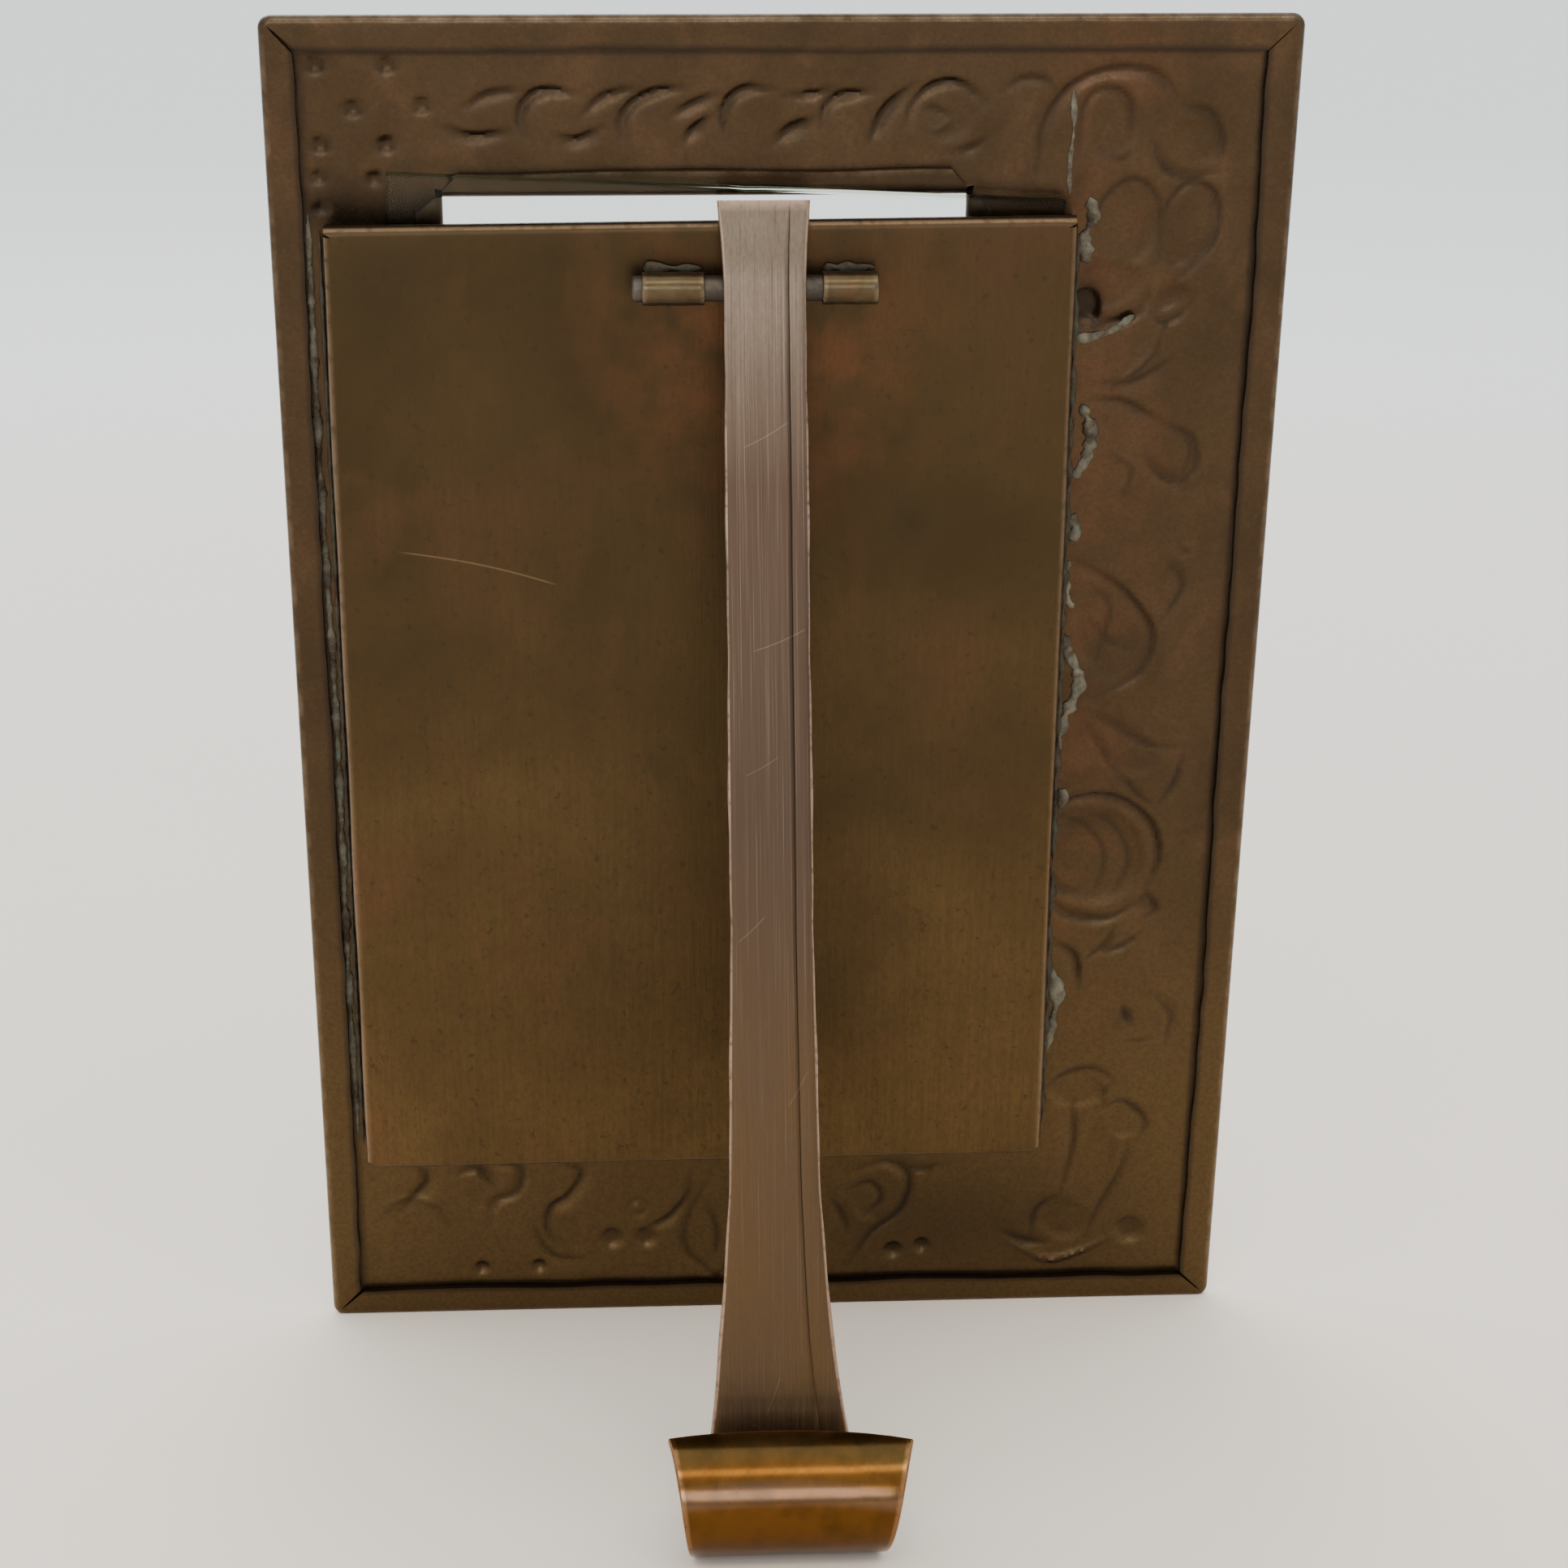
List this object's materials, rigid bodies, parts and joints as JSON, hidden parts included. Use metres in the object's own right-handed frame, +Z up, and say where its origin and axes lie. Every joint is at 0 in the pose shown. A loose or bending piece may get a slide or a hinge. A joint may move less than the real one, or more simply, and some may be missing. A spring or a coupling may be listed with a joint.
{
  "type": "photograph frame",
  "caption": "Easel-back photograph frame in hammered copper, with an embossed hemmed face, a soldered back pocket holding a loose glass pane, and a hinged strap strut with a rolled foot.",
  "frame": {"origin": "on the floor plane, under the middle of the standing frame's footprint box", "axes": "+Z up; the decorated face looks towards -Y and leans back 11 degrees; the strut's foot is towards +Y; +X is to the right as seen from the front"},
  "size_m": [0.1358, 0.089, 0.1961],
  "materials": {
    "face_copper": "dark brown patinated copper sheet, hammered and embossed, satin",
    "pocket_copper": "olive-brown patinated copper sheet, fine vertical brushing, bright worn edges",
    "strut_copper": "rubbed copper strap, greyish pink with lengthwise scratches, polished at the rolled foot",
    "tube_brass": "dull olive brass tube",
    "rod_iron": "dark grey iron rod",
    "soft_solder": "dull grey-green soft solder with verdigris",
    "pane_glass": "clear sheet glass with a greenish edge"
  },
  "bodies": {
    "frame": {"face_sheet": "face_copper", "back_pocket": "pocket_copper", "hinge_tube_left": "tube_brass", "hinge_tube_right": "tube_brass", "solder_seam_left": "soft_solder", "solder_seam_right": "soft_solder", "solder_seam_bottom": "soft_solder", "solder_tube_left_upper": "soft_solder", "solder_tube_left_lower": "soft_solder", "solder_tube_right_upper": "soft_solder", "solder_tube_right_lower": "soft_solder"},
    "strut": {"strut": "strut_copper", "hinge_rod": "rod_iron", "solder_rod_upper": "soft_solder", "solder_rod_lower": "soft_solder"},
    "pane": {"glass_pane": "pane_glass"}
  },
  "joints": [
    {"name": "strut_hinge", "type": "hinge", "parent": "frame", "child": "strut", "pos_m": [0, -0.00353, 0.16111], "axis": [1, 0, 0], "range_deg": [-23, 0]},
    {"name": "pane_slide", "type": "slide", "parent": "frame", "child": "pane", "axis": [0, 0.1908, 0.9816], "range_m": [0, 0.15]}
  ]
}
